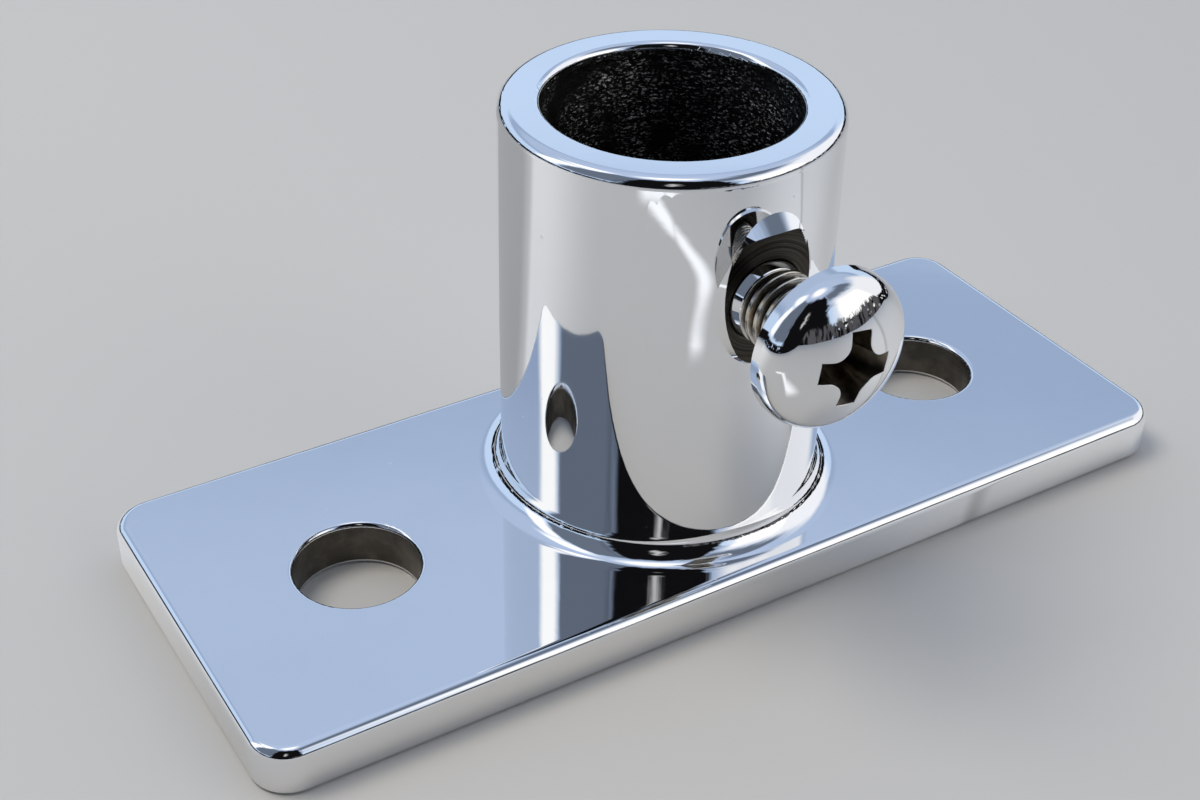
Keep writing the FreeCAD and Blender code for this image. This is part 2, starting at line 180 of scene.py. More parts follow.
def plate_outline(inset, z):
    """The plate's rounded rectangle, moved inwards, at a height."""
    core = np.array(PLATE_HALF) - PLATE_CORNER
    radius = PLATE_CORNER - inset

    def spine(points):
        flat = points[..., :2]
        middle = np.clip(flat, -core, core)
        away = flat - middle
        away[np.linalg.norm(away, axis=-1) < 1e-9] = (0.0, 1.0)
        nearest = np.full(points.shape, z)
        nearest[..., :2] = middle + unit(away) * radius
        return nearest

    return spine


# %% Level spines, for the seat and the screw
def seat_line(points):
    """The line that the seat's cutter ran along, at each point's own depth."""
    nearest = points.copy()
    nearest[..., 0] = 0.0
    lowest, highest = SEAT_MIDDLE - SEAT_HALF_LENGTH, SEAT_MIDDLE + SEAT_HALF_LENGTH
    nearest[..., 2] = np.clip(points[..., 2], lowest, highest)
    return nearest


def screw_axis(points):
    nearest = points.copy()
    nearest[..., 0] = 0.0
    nearest[..., 2] = SCREW_HEIGHT
    return nearest


def screw_circle(radius, outwards):
    """A circle round the screw's axis, so far in front of the socket's axis."""

    def spine(points):
        flat = points - np.array((0.0, 0.0, SCREW_HEIGHT))
        flat[..., 1] = 0.0
        return unit(flat) * radius + np.array((0.0, -outwards, SCREW_HEIGHT))

    return spine


# %% [markdown]
# Two kinds of form are slopes. The boss's flank leans back all round its oval, which is
# four arcs that run into each other, and the chamfers about the screw are cones. The
# oval is a function of its own, because the swelling of the wall needs it again.

# %% Slopes
def boss_oval(x, z):
    """How far points lie outside the boss's front outline, and in which direction."""
    centre_gap = BOSS_SIDE_RADIUS - BOSS_END_RADIUS
    aside = math.sqrt(centre_gap ** 2 - BOSS_HALF_LENGTH ** 2)
    height = z - BOSS_MIDDLE
    beyond = np.abs(height) - BOSS_HALF_LENGTH
    at_end = (beyond > 0) & (np.abs(x) * BOSS_HALF_LENGTH < beyond * aside)
    centre_x = np.where(at_end, 0.0, np.where(x < 0, aside, -aside))
    centre_z = np.where(at_end, np.where(height < 0, -BOSS_HALF_LENGTH, BOSS_HALF_LENGTH), 0.0)
    away = np.stack([x - centre_x, height - centre_z], axis=-1)
    radius = np.where(at_end, BOSS_END_RADIUS, BOSS_SIDE_RADIUS)
    return np.linalg.norm(away, axis=-1) - radius, unit(away)


def boss_flank(points):
    """The boss's slope. Its normals are exact, but for the buffed upper end."""
    x, y, z = points[..., 0], points[..., 1], points[..., 2]
    outside, direction = boss_oval(x, z)
    grown = (y + BOSS_FRONT) * math.tan(BOSS_DRAFT)
    sloped = np.empty(points.shape)
    sloped[..., [0, 2]] = direction * math.cos(BOSS_DRAFT)
    sloped[..., 1] = -math.sin(BOSS_DRAFT)
    buffed = np.empty(points.shape)
    fan = np.stack([x, z - BUFFED_CENTRE], axis=-1)
    buffed[..., [0, 2]] = unit(fan) * math.cos(BUFFED_LEAN)
    buffed[..., 1] = -math.sin(BUFFED_LEAN)
    share = smooth_step(z, BUFFED_FROM, BUFFED_TO)[..., None]
    return np.abs(outside - grown) * math.cos(BOSS_DRAFT), unit(sloped * (1 - share) + buffed * share)


def screw_cone(radius, outwards, slope, facing=1):
    """A cone round the screw's axis whose radius grows with the distance outwards."""
    lean = math.atan(slope)

    def form(points):
        away = points - screw_axis(points)
        wanted = radius + (-points[..., 1] - outwards) * slope
        normals = unit(away) * math.cos(lean)
        normals[..., 1] = math.sin(lean)
        return np.abs(np.linalg.norm(away, axis=-1) - wanted) * math.cos(lean), facing * normals

    return form


# %% [markdown]
# Each form of the flange stands in a list beside its finish. All of it is polished, but
# for the bore, which stays as it was cast, the milled seat, and the drilled holes.

# %% Forms of the flange
POLISHED, CAST, DRILLED, MILLED = "polished", "cast", "drilled", "milled"

root_circle = upright_circle(0.0, SOCKET_RADIUS + ROOT_ROUNDING, PLATE_TOP + ROOT_ROUNDING)
rim_circle = upright_circle(0.0, SOCKET_RADIUS - RIM_OUTER_ROUNDING, SOCKET_TOP - RIM_OUTER_ROUNDING)
mouth_circle = upright_circle(0.0, BORE_RADIUS + RIM_INNER_ROUNDING, SOCKET_TOP - RIM_INNER_ROUNDING)
flange_forms = [
    (plane((0, 0, 1), PLATE_TOP), POLISHED),
    (plane((0, 0, 1), SOCKET_TOP), POLISHED),
    (plane((0, 0, -1), 0.0), POLISHED),
    (rolled(plate_outline(PLATE_CORNER, 0.0), PLATE_CORNER), POLISHED),
    (rolled(plate_outline(TOP_ROUNDING, PLATE_TOP - TOP_ROUNDING), TOP_ROUNDING), POLISHED),
    (rolled(plate_outline(FOOT_ROUNDING, FOOT_ROUNDING), FOOT_ROUNDING), POLISHED),
    (rolled(upright_axis(0.0), SOCKET_RADIUS), POLISHED),
    (rolled(root_circle, ROOT_ROUNDING, -1), POLISHED),
    (rolled(rim_circle, RIM_OUTER_ROUNDING), POLISHED),
    (rolled(mouth_circle, RIM_INNER_ROUNDING), POLISHED),
    (rolled(upright_axis(0.0), BORE_RADIUS, -1), CAST),
    (boss_flank, POLISHED),
    (plane((0, -1, 0), SEAT_DISTANCE), MILLED),
    (rolled(seat_line, SEAT_END_RADIUS, -1), MILLED),
    (rolled(screw_axis, SCREW_HOLE_RADIUS, -1), DRILLED),
    (screw_cone(SCREW_HOLE_RADIUS + SCREW_HOLE_CHAMFER, SEAT_DISTANCE, 1.0, -1), DRILLED),
]
for side in (-1, 1):
    flange_forms.append((plane((side, 0, 0), PLATE_HALF[0]), POLISHED))
    flange_forms.append((plane((0, side, 0), PLATE_HALF[1]), POLISHED))
for hole_x in (-HOLE_X, HOLE_X):
    flange_forms.append((rolled(upright_axis(hole_x), HOLE_RADIUS, -1), DRILLED))
    for edge_z in (PLATE_TOP - HOLE_ROUNDING, HOLE_ROUNDING):
        edge_circle = upright_circle(hole_x, HOLE_RADIUS + HOLE_ROUNDING, edge_z)
        flange_forms.append((rolled(edge_circle, HOLE_ROUNDING), POLISHED))
print("flange:", len(flange_forms), "forms")

# %% [markdown]
# The head's dome is a rolled shoulder that runs into a shallow crown. The crown is part
# of a sphere, and its radius follows from the head's width and height. Triangles that
# lie on no form at all are the walls of the cross recess.

# %% Forms of the screw
THREADED, RECESSED = "threaded", "recessed"

crown_rise = HEAD_HEIGHT - HEAD_SIDE
crown_reach = HEAD_RADIUS - HEAD_SHOULDER
crown_square = crown_reach ** 2 + crown_rise ** 2 - HEAD_SHOULDER ** 2
crown_radius = crown_square / (2 * (crown_rise - HEAD_SHOULDER))
crown_centre = np.array((0.0, -(HEAD_UNDERSIDE + HEAD_HEIGHT - crown_radius), SCREW_HEIGHT))


def crown_spine(points):
    return np.broadcast_to(crown_centre, points.shape)


screw_forms = [
    (plane((0, 1, 0), -tip), POLISHED),
    (screw_cone(POINT_RADIUS - POINT_CHAMFER, tip, 1.0), POLISHED),
    (rolled(screw_axis, POINT_RADIUS), POLISHED),
    (plane((0, 1, 0), -thread_start), THREADED),
    (screw_cone(THREAD_RADIUS - THREAD_CHAMFER, thread_start, 1.0), THREADED),
    (rolled(screw_axis, THREAD_RADIUS), THREADED),
    (plane((0, 1, 0), -HEAD_UNDERSIDE), POLISHED),
    (screw_cone(HEAD_RADIUS - HEAD_UNDER_CHAMFER, HEAD_UNDERSIDE, 1.0), POLISHED),
    (rolled(screw_axis, HEAD_RADIUS), POLISHED),
    (rolled(screw_circle(crown_reach, HEAD_UNDERSIDE + HEAD_SIDE), HEAD_SHOULDER), POLISHED),
    (rolled(crown_spine, crown_radius), POLISHED),
]
print("screw:", len(screw_forms), "forms, crown radius", round(crown_radius, 2), "mm")

# %% [markdown]
# Now every triangle meets every form. It belongs to the one on which its three corners
# lie closest, if that form also faces the same way. The solids are loose triangles, so
# they are copied and welded first.

# %% Match every triangle with its form
# ON_FORM is in millimetres, and WELD in metres, as the meshes are
ON_FORM = 0.004
FACING_ALIKE = 0.8
TURN_WEIGHT = 0.01
WELD = 1e-7


def merged_copy(node, name):
    """A copy of a solid's triangles, welded into one closed skin."""
    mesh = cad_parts[node].data.copy()
    mesh.name = name
    skin = bmesh.new()
    skin.from_mesh(mesh)
    bmesh.ops.remove_doubles(skin, verts=skin.verts, dist=WELD)
    skin.to_mesh(mesh)
    skin.free()
    mesh.materials.clear()
    return mesh


def read_triangles(mesh):
    points = np.empty(len(mesh.vertices) * 3)
    mesh.vertices.foreach_get("co", points)
    corners = np.empty(len(mesh.loops), int)
    mesh.loops.foreach_get("vertex_index", corners)
    return points.reshape(-1, 3) / MM, corners.reshape(-1, 3)


def match_forms(points, triangles, forms):
    """For each triangle the number of its form, or -1, and a normal for each corner."""
    corners = points[triangles]
    facing = unit(np.cross(corners[:, 1] - corners[:, 0], corners[:, 2] - corners[:, 0]))
    best = np.full(len(triangles), -1)
    best_score = np.full(len(triangles), np.inf)
    normals = np.repeat(facing[:, None, :], 3, axis=1)
    for number, (form, finish) in enumerate(forms):
        off, found = form(corners)
        agree = (found * facing[:, None, :]).sum(axis=-1).min(axis=1)
        worst = off.max(axis=1)
        fits = (worst < ON_FORM) & (agree > FACING_ALIKE)
        score = np.where(fits, worst + TURN_WEIGHT * (1 - agree), np.inf)
        better = score < best_score
        best[better] = number
        best_score[better] = score[better]
        normals[better] = found[better]
    return best, normals


# %% [markdown]
# Shader maths reads best as ordinary sums. The class below wraps a shader socket, so
# that `1 - mask * 0.5` adds the Math nodes by itself, and one method, `node`, makes any
# other node: first its settings, then its sockets.

# %% A wrapped socket
class Socket:
    """An output of a node that can be used in sums."""

    def __init__(self, tree, output):
        self.tree = tree
        self.output = output

    def maths(self, operation, *others):
        return self.tree.maths(operation, self, *others)

    def __add__(self, other):
        return self.maths("ADD", other)

    def __radd__(self, other):
        return self.tree.maths("ADD", other, self)

    def __sub__(self, other):
        return self.maths("SUBTRACT", other)

    def __rsub__(self, other):
        return self.tree.maths("SUBTRACT", other, self)

    def __mul__(self, other):
        return self.maths("MULTIPLY", other)

    def __rmul__(self, other):
        return self.tree.maths("MULTIPLY", other, self)

    def __truediv__(self, other):
        return self.maths("DIVIDE", other)

    def __rtruediv__(self, other):
        return self.tree.maths("DIVIDE", other, self)

    def __neg__(self):
        return self.maths("MULTIPLY", -1.0)

    def __gt__(self, other):
        return self.maths("GREATER_THAN", other)

    def __lt__(self, other):
        return self.maths("LESS_THAN", other)

    def ramp(self, low, high, start=0.0, end=1.0, smooth=True):
        """Runs from start to end while the value runs from low to high."""
        settings = {"interpolation_type": "SMOOTHSTEP" if smooth else "LINEAR", "clamp": True}
        if low > high:
            low, high, start, end = high, low, end, start
        sockets = {"Value": self, "From Min": low, "From Max": high, "To Min": start, "To Max": end}
        return self.tree.node("ShaderNodeMapRange", settings, sockets)


# %% The tree that holds the nodes
class Tree:
    """A node tree, and the nodes that this lesson needs most."""

    def __init__(self, tree):
        self.tree = tree
        tree.nodes.clear()

    def link(self, value, socket):
        if isinstance(value, Socket):
            self.tree.links.new(value.output, socket)
        else:
            socket.default_value = value

    def node(self, kind, settings=None, sockets=None, output=0):
        """Makes a node: its settings first, then its sockets, by name or in order."""
        made = self.tree.nodes.new(kind)
        for name, value in (settings or {}).items():
            setattr(made, name, value)
        pairs = sockets.items() if isinstance(sockets, dict) else enumerate(sockets or [])
        for name, value in pairs:
            self.link(value, made.inputs[name])
        return Socket(self, made.outputs[output]) if len(made.outputs) else made

    def maths(self, operation, *values):
        return self.node("ShaderNodeMath", {"operation": operation}, values)

    def split(self, vector):
        """The three numbers of a vector."""
        first = self.node("ShaderNodeSeparateXYZ", {}, [vector])
        return [Socket(self, output) for output in first.output.node.outputs]

    def stretch(self, vector, scale):
        return self.node("ShaderNodeVectorMath", {"operation": "MULTIPLY"}, [vector, scale])

    def length(self, vector):
        return self.node("ShaderNodeVectorMath", {"operation": "LENGTH"}, [vector], output="Value")

    def noise(self, vector, scale, detail=2.0, roughness=0.5):
        sockets = {"Vector": vector, "Scale": scale, "Detail": detail, "Roughness": roughness}
        return self.node("ShaderNodeTexNoise", {}, sockets, output="Fac")

    def mix(self, factor, first, second):
        """Two colours, blended. Sockets 6 and 7 are the Mix node's two for colour."""
        sockets = {0: factor, 6: first, 7: second}
        return self.node("ShaderNodeMix", {"data_type": "RGBA"}, sockets, output=2)

    def bump(self, height, strength, distance):
        sockets = {"Height": height, "Strength": strength, "Distance": distance}
        return self.node("ShaderNodeBump", {}, sockets)


# %% [markdown]
# Every material starts from the place on the object, in metres, so that a pattern keeps
# its real size on every piece, and ends in one shader.

# %% Start and end of a material
def new_material(name):
    material = bpy.data.materials.new(name)
    material.use_nodes = True
    tree = Tree(material.node_tree)
    return material, tree, tree.node("ShaderNodeTexCoord", output="Object")


def close_material(tree, sockets):
    shader = tree.node("ShaderNodeBsdfPrincipled", {}, sockets)
    tree.node("ShaderNodeOutputMaterial", {}, {"Surface": shader})


# %% [markdown]
# Polished plating is a mirror, and a perfect mirror looks false. Real plating follows
# the wheel that polished the metal: broad shallow waves bend reflections a little,
# hair-fine scratches catch the light, and a few pits stay dark. All of that is in the
# normals and the roughness, because plating has hardly any colour of its own.

# %% Mirror plating
def make_plating(name, tone, wave_scale, scratch_scale):
    material, tree, place = new_material(name)
    waves = tree.noise(place, wave_scale, 1.0)
    ripples = tree.noise(place, wave_scale * 6, 2.0)
    scratches = tree.noise(tree.stretch(place, (1.0, 0.04, 1.0)), scratch_scale, 3.0, 0.7)
    haze = tree.noise(place, 90.0, 4.0, 0.6)
    pits = tree.noise(place, 700.0, 0.0).ramp(0.86, 0.88)
    hazy_tone = tuple(channel * 0.93 for channel in tone)
    close_material(tree, {
        "Base Color": tree.mix(haze.ramp(0.35, 0.8) * 0.35, (*tone, 1.0), (*hazy_tone, 1.0)),
        "Metallic": 1.0,
        "Roughness": 0.028 + haze.ramp(0.45, 0.75) * 0.03 + pits * 0.3,
        "Normal": tree.bump(waves + ripples * 0.06 + scratches * 0.004 - pits * 0.02, 1.0, 0.00006),
    })
    return material


plating = make_plating("mirror_plating", (0.83, 0.835, 0.845), 60.0, 900.0)
screw_plating = make_plating("screw_plating", (0.80, 0.80, 0.80), 110.0, 1400.0)
print("made", plating.name, "and", screw_plating.name)

# %% [markdown]
# The bore is left as it was cast. Its nearly black colour is painted shade, for the deep
# bore where little light gets in. Each grain of the sand left a small facet, and in
# clusters where the core was scraped clean, those facets are bright metal that glitters
# when it faces the light.

# %% Rough cast bore
cast_bore, tree, place = new_material("cast_bore")
along_rows = tree.stretch(place, (1.0, 1.0, 2.2))
grain = tree.noise(along_rows, 2100.0, 3.0, 0.7)
clusters = tree.noise(place, 210.0, 2.0, 0.6).ramp(0.36, 0.62)
glints = tree.noise(along_rows, 2300.0, 2.0, 0.6).ramp(0.54, 0.66) * clusters
close_material(tree, {
    # The nearly black colour is painted shade of the deep bore; the clusters are bright metal
    "Base Color": tree.mix(glints, (0.022, 0.021, 0.019, 1.0), (0.95, 0.92, 0.86, 1.0)),
    "Metallic": 1.0,
    "Roughness": 0.42 - glints * 0.16,
    "Normal": tree.bump(grain, 1.0, 0.0002),
})
print("made", cast_bore.name)

# %% [markdown]
# Drilled and punched metal is satin: the tool leaves lines a few hundredths of a
# millimetre apart, and the plating doesn't fill them. Where it is thin the metal turns
# a warm dark grey, in blotches. In the drilled holes the lines run round, so the
# pattern is squeezed along Z.

# %% Drilled walls and punched recess
def make_machined(name, dark, light, squeeze, line_scale):
    material, tree, place = new_material(name)
    lines = tree.noise(tree.stretch(place, (1.0, 1.0, squeeze)), line_scale, 3.0, 0.6)
    blotches = tree.noise(place, 260.0, 3.0, 0.6)
    close_material(tree, {
        "Base Color": tree.mix(blotches.ramp(0.3, 0.7), (*dark, 1.0), (*light, 1.0)),
        "Metallic": 1.0,
        "Roughness": 0.28 + blotches * 0.16,
        "Normal": tree.bump(lines, 0.7, 0.00008),
    })
    return material


# The drilled walls' very dark colours are painted shade inside the holes; the blotches are the metal's own
drilled = make_machined("drilled_wall", (0.07, 0.064, 0.055), (0.15, 0.138, 0.12), 14.0, 260.0)
recess_metal = make_machined("recess_metal", (0.10, 0.085, 0.065), (0.36, 0.31, 0.25), 1.0, 700.0)
print("made", drilled.name, "and", recess_metal.name)

# %% [markdown]
# The seat's cutter turned about the screw's axis and left arcs. They could be rings from
# a wave texture, but those would be evenly spaced. A noise that is read along the
# distance from the axis, and hardly at all round it, gives arcs as uneven as real ones.

# %% Milled seat
def from_screw_axis(tree, place):
    """The place as seen along the screw's axis, and its distance from the axis."""
    to_axis = (0.0, 0.0, -SCREW_HEIGHT * MM)
    centred = tree.node("ShaderNodeMapping", {}, {"Vector": place, "Location": to_axis})
    flat = tree.stretch(centred, (1.0, 0.0, 1.0))
    return flat, tree.length(flat)


milled, tree, place = new_material("milled_seat")
flat, reach = from_screw_axis(tree, place)
rings = tree.node("ShaderNodeCombineXYZ", {}, {"X": reach * 40.0, "Y": tree.noise(flat, 120.0) * 0.012})
arcs = tree.noise(rings, 90.0, 4.0, 0.7)
stain = tree.noise(place, 330.0, 3.0, 0.6)
# The seat's very dark colours are painted shade under the boss's lip; the stain blotches are the metal's
# own
shade = tree.mix(arcs.ramp(0.35, 0.7), (0.020, 0.018, 0.015, 1.0), (0.082, 0.073, 0.060, 1.0))
close_material(tree, {
    "Base Color": tree.mix(stain.ramp(0.5, 0.8) * 0.5, shade, (0.045, 0.034, 0.024, 1.0)),
    "Metallic": 1.0,
    "Roughness": 0.26 + stain * 0.14,
    "Normal": tree.bump(arcs, 0.8, 0.00008),
})
print("made", milled.name)

# %% [markdown]
# The thread's flanks are rolled smooth. The colour follows the distance from the screw's
# axis: the nearly black roots are painted shade in the grooves, and the crests keep the
# bright metal, stained brown in blotches.

# %% Metal of the thread
CREST_FROM, CREST_TO = 0.0033, 0.0039

thread_metal, tree, place = new_material("thread_metal")
flat, reach = from_screw_axis(tree, place)
crest = reach.ramp(CREST_FROM, CREST_TO)
stain = tree.noise(place, 420.0, 3.0, 0.6)
bright = tree.mix(stain.ramp(0.45, 0.7), (0.60, 0.575, 0.53, 1.0), (0.42, 0.345, 0.25, 1.0))
close_material(tree, {
    # The nearly black roots are painted shade in the thread's grooves
    "Base Color": tree.mix(crest, (0.10, 0.088, 0.07, 1.0), bright),
    "Metallic": 1.0,
    "Roughness": 0.34 - crest * 0.17,
    "Normal": tree.bump(stain, 0.4, 0.00006),
})
print("made", thread_metal.name)

# %% [markdown]
# Now the flange itself. Its skin is the solid's own, with exact normals and a finish
# for every triangle. A mirror needs no more geometry than that.

# %% Dress a solid
def add_object(name, data):
    made = bpy.data.objects.new(name, data)
    bpy.context.scene.collection.objects.link(made)
    return made


def dress(node, name, forms, finishes, default):
    """The solid's own skin, with exact normals. Triangles on no form get the default."""
    mesh = merged_copy(node, name)
    points, triangles = read_triangles(mesh)
    best, normals = match_forms(points, triangles, forms)
    found = [forms[number][1] if number >= 0 else default for number in best]
    names = list(finishes)
    for finish in names:
        mesh.materials.append(finishes[finish])
        print(name, found.count(finish), finish, "triangles")
    mesh.polygons.foreach_set("material_index", [names.index(finish) for finish in found])
    mesh.polygons.foreach_set("use_smooth", [True] * len(mesh.polygons))
    mesh.normals_split_custom_set(normals.reshape(-1, 3).tolist())
    mesh.update()
    return add_object(name, mesh), best


flange_finishes = {POLISHED: plating, CAST: cast_bore, DRILLED: drilled, MILLED: milled}
flange, flange_match = dress("flange", "polished_flange", flange_forms, flange_finishes, POLISHED)

# %% [markdown]
# The screw keeps the solid's head and point in the same way. Its shank is only a plain
# cylinder so far, and the thread will take its place.

# %% Head and point of the screw
screw_finishes = {POLISHED: screw_plating, THREADED: thread_metal, RECESSED: recess_metal}
head, head_match = dress("clamp_screw", "screw_head_and_point", screw_forms, screw_finishes, RECESSED)

# %% [markdown]
# What follows a rule is grown by Geometry Nodes. This class adds to a node tree what a
# geometry tree needs: the mesh that it starts from, inputs with names, and its last steps.

# %% A small builder for geometry trees
class GeometryTree(Tree):
    """A geometry tree with named inputs. The mesh that it starts from comes first."""

    def __init__(self, name, inputs):
        group = bpy.data.node_groups.new(name, "GeometryNodeTree")
        super().__init__(group)
        group.interface.new_socket("Geometry", in_out="INPUT", socket_type="NodeSocketGeometry")
        group.interface.new_socket("Geometry", in_out="OUTPUT", socket_type="NodeSocketGeometry")
        self.identifiers = {}
        for label, value in inputs.items():
            socket = group.interface.new_socket(label, in_out="INPUT", socket_type="NodeSocketFloat")
            socket.default_value = value
            self.identifiers[label] = socket.identifier
        self.inputs_node = group.nodes.new("NodeGroupInput")
        self.outputs_node = group.nodes.new("NodeGroupOutput")

    def given(self, label):
        return Socket(self, self.inputs_node.outputs[label])

    def grow(self, name, geometry, material, values, seed=None):
        """Ends the tree, runs it once on a seed mesh and keeps the result as a plain mesh."""
        smoothed = self.node("GeometryNodeSetShadeSmooth", {}, {"Geometry": geometry})
        solid = self.node("GeometryNodeRealizeInstances", {}, {"Geometry": smoothed})
        finished = self.node("GeometryNodeSetMaterial", {}, {"Geometry": solid, "Material": material})
        self.link(finished, self.outputs_node.inputs["Geometry"])
        carrier = add_object(name, seed or bpy.data.meshes.new(name + "_seed"))
        modifier = carrier.modifiers.new("grow", "NODES")
        modifier.node_group = self.tree
        for label, value in values.items():
            modifier[self.identifiers[label]] = value
        bpy.context.view_layer.update()
        evaluated = carrier.evaluated_get(bpy.context.evaluated_depsgraph_get())
        mesh = bpy.data.meshes.new_from_object(evaluated)
        mesh.name = name
        carrier.modifiers.remove(modifier)
        carrier.data = mesh
        print(name, len(mesh.polygons), "faces")
        return carrier


# %% [markdown]
# A thread follows one rule: its surface climbs by one pitch with every turn. It could be
# a profile swept along a helix, but the sweep leaves a seam between turns. Geometry
# Nodes bend a flat grid round the axis instead. The grid's length counts the turns, its
# width runs once across the thread's shape, from root to crest and back, and
# neighbouring turns meet edge to edge. The thread starts a little before the solid's
# shank does, where the photograph shows it, and runs a turn into the neck and the head.

# %% Thread
THREAD_SHOWN_FROM = 17.9
THREAD_PITCH = 1.25
THREAD_ROOT_RADIUS = 3.18
THREAD_CREST_SHARE, THREAD_FOOT_SHARE = 0.36, 0.80
STEPS_ROUND, STEPS_ACROSS = 900, 25

thread = GeometryTree("thread", {
    "Turns": 7.0,
    "Pitch": THREAD_PITCH * MM,
    "Crest radius": THREAD_RADIUS * MM,
    "Root radius": THREAD_ROOT_RADIUS * MM,
    "Start": -THREAD_SHOWN_FROM * MM,
    "Start chamfer": THREAD_CHAMFER * MM,
    "Height": SCREW_HEIGHT * MM,
})
grid = thread.node("GeometryNodeMeshGrid", {}, {
    "Size X": thread.given("Turns"),
    "Size Y": 1.0,
    "Vertices X": STEPS_ROUND,
    "Vertices Y": STEPS_ACROSS,
})
turn, across = thread.split(thread.node("GeometryNodeInputPosition"))[:2]
shape = (across.maths("ABSOLUTE") * 2.0).ramp(THREAD_FOOT_SHARE, THREAD_CREST_SHARE, smooth=False)
climbed = (turn + across + thread.given("Turns") / 2.0 - 1.0) * thread.given("Pitch")
along = thread.given("Start") - climbed
room_at_start = thread.given("Start") - along + thread.given("Crest radius") - thread.given("Start chamfer")
depth = thread.given("Crest radius") - thread.given("Root radius")
radius = (thread.given("Root radius") + depth * shape).maths("MINIMUM", room_at_start)
radius = radius.maths("MAXIMUM", thread.given("Root radius"))
turned = turn * (-2 * math.pi)
bent = thread.node("ShaderNodeCombineXYZ", {}, {
    "X": radius * turned.maths("SINE"),
    "Y": along,
    "Z": radius * turned.maths("COSINE") + thread.given("Height"),
})
moved = thread.node("GeometryNodeSetPosition", {}, {"Geometry": grid, "Position": bent})
turns = (HEAD_UNDERSIDE - THREAD_SHOWN_FROM) / THREAD_PITCH + 2.0
thread_piece = thread.grow("screw_thread", moved, thread_metal, {"Turns": turns})

# %% [markdown]
# The plain shank and the plain wall of the bore are both made anew, so their
# triangles are deleted from the copies, by their form.

# %% Take off the plain shank and the plain bore
def drop_finish(made, best, forms, finish):
    skin = bmesh.new()
    skin.from_mesh(made.data)
    skin.faces.ensure_lookup_table()
    gone = [skin.faces[i] for i, number in enumerate(best) if number >= 0 and forms[number][1] == finish]
    print(made.name, "loses", len(gone), finish, "triangles")
    bmesh.ops.delete(skin, geom=gone, context="FACES")
    skin.to_mesh(made.data)
    skin.free()


drop_finish(head, head_match, screw_forms, THREADED)
drop_finish(flange, flange_match, flange_forms, CAST)

# %% [markdown]
# The casting swells softly from the rim down to the boss, and the buffing wheel blended
# that swelling into the wall. The solid has a plain cylinder there. A fine sheet lies on
# the wall and lifts off it by up to 0.8 mm. Its borders dip just under the wall and
# under the boss's slope, so no edge of it shows. The lift is an ordinary function, so
# numpy works out both the sheet and its exact normals.

# %% Lift of the swelling
FLARE_HEIGHT = 0.8
FLARE_TOP = SOCKET_TOP - RIM_OUTER_ROUNDING
FLARE_EASE = 9.0
FLARE_STARTS = (24.5, 31.0)
FLARE_GROWS = (31.0, 42.0)
FLARE_LOW_SHARE = 0.2
FLARE_ENDS_ASIDE, FLARE_FULL_ASIDE = 44.0, 8.0
SUNK = 0.02


def flare_lift(angle, z):
    """How far the wall swells out, by the angle from the screw and the height."""
    below_rim = 1 - (1 - np.clip((FLARE_TOP - z) / FLARE_EASE, 0.0, 1.0)) ** 2
    grown = FLARE_LOW_SHARE + (1 - FLARE_LOW_SHARE) * smooth_step(z, *FLARE_GROWS)
    rise = below_rim * grown * smooth_step(z, *FLARE_STARTS)
    return FLARE_HEIGHT * rise * smooth_step(np.abs(angle), FLARE_ENDS_ASIDE, FLARE_FULL_ASIDE) - SUNK


def flare_points(angle, z):
    radius = SOCKET_RADIUS + flare_lift(angle, z)
    around = np.radians(angle)
    return np.stack([radius * np.sin(around), -radius * np.cos(around), z], axis=-1)


# %% Swelling between rim and boss
FLARE_BOTTOM = 24.0
FLARE_ANGLE = 50.0
FLARE_STEP = 0.15
ANGLE_NUDGE, HEIGHT_NUDGE = 0.05, 0.02
COVERED_BY = 0.25

columns = int(2 * math.radians(FLARE_ANGLE) * SOCKET_RADIUS / FLARE_STEP) + 1
rows = int((FLARE_TOP - FLARE_BOTTOM) / FLARE_STEP) + 1
sheet_angle, sheet_z = np.meshgrid(np.linspace(-FLARE_ANGLE, FLARE_ANGLE, columns),
                                   np.linspace(FLARE_BOTTOM, FLARE_TOP, rows))
sheet = flare_points(sheet_angle, sheet_z)
sideways = flare_points(sheet_angle + ANGLE_NUDGE, sheet_z)
sideways -= flare_points(sheet_angle - ANGLE_NUDGE, sheet_z)
upwards = flare_points(sheet_angle, sheet_z + HEIGHT_NUDGE)
upwards -= flare_points(sheet_angle, sheet_z - HEIGHT_NUDGE)
sheet_normals = unit(np.cross(sideways, upwards)).reshape(-1, 3)
# Nothing of the sheet is kept well under the boss's slope
outside = boss_oval(sheet[..., 0], sheet[..., 2])[0]
shown = outside >= BOSS_FRONT + sheet[..., 1] - COVERED_BY
number = np.arange(rows * columns).reshape(rows, columns)
quads = np.stack([number[:-1, :-1], number[:-1, 1:], number[1:, 1:], number[1:, :-1]], axis=-1)
quads = quads[shown.ravel()[quads].all(axis=-1)]
used = np.unique(quads)
new_number = np.full(rows * columns, -1)
new_number[used] = np.arange(len(used))
flare_mesh = bpy.data.meshes.new("boss_flare")
flare_mesh.from_pydata((sheet.reshape(-1, 3)[used] * MM).tolist(), [], new_number[quads].tolist())
flare_mesh.materials.append(plating)
flare_mesh.shade_smooth()
flare_mesh.normals_split_custom_set(sheet_normals[quads.ravel()].tolist())
flare = add_object("boss_flare", flare_mesh)
print("boss_flare", len(quads), "faces")

# %% [markdown]
# Between the thread and the seat the photograph shows a plain polished ring, the screw's
# unthreaded neck. It is a slight cone, widest at the seat, so it mirrors the sky and not
# the dark seat beside it. It is turned like work on a lathe: a profile goes round the
# axis, and each of its stretches gets the normals of its own cone.

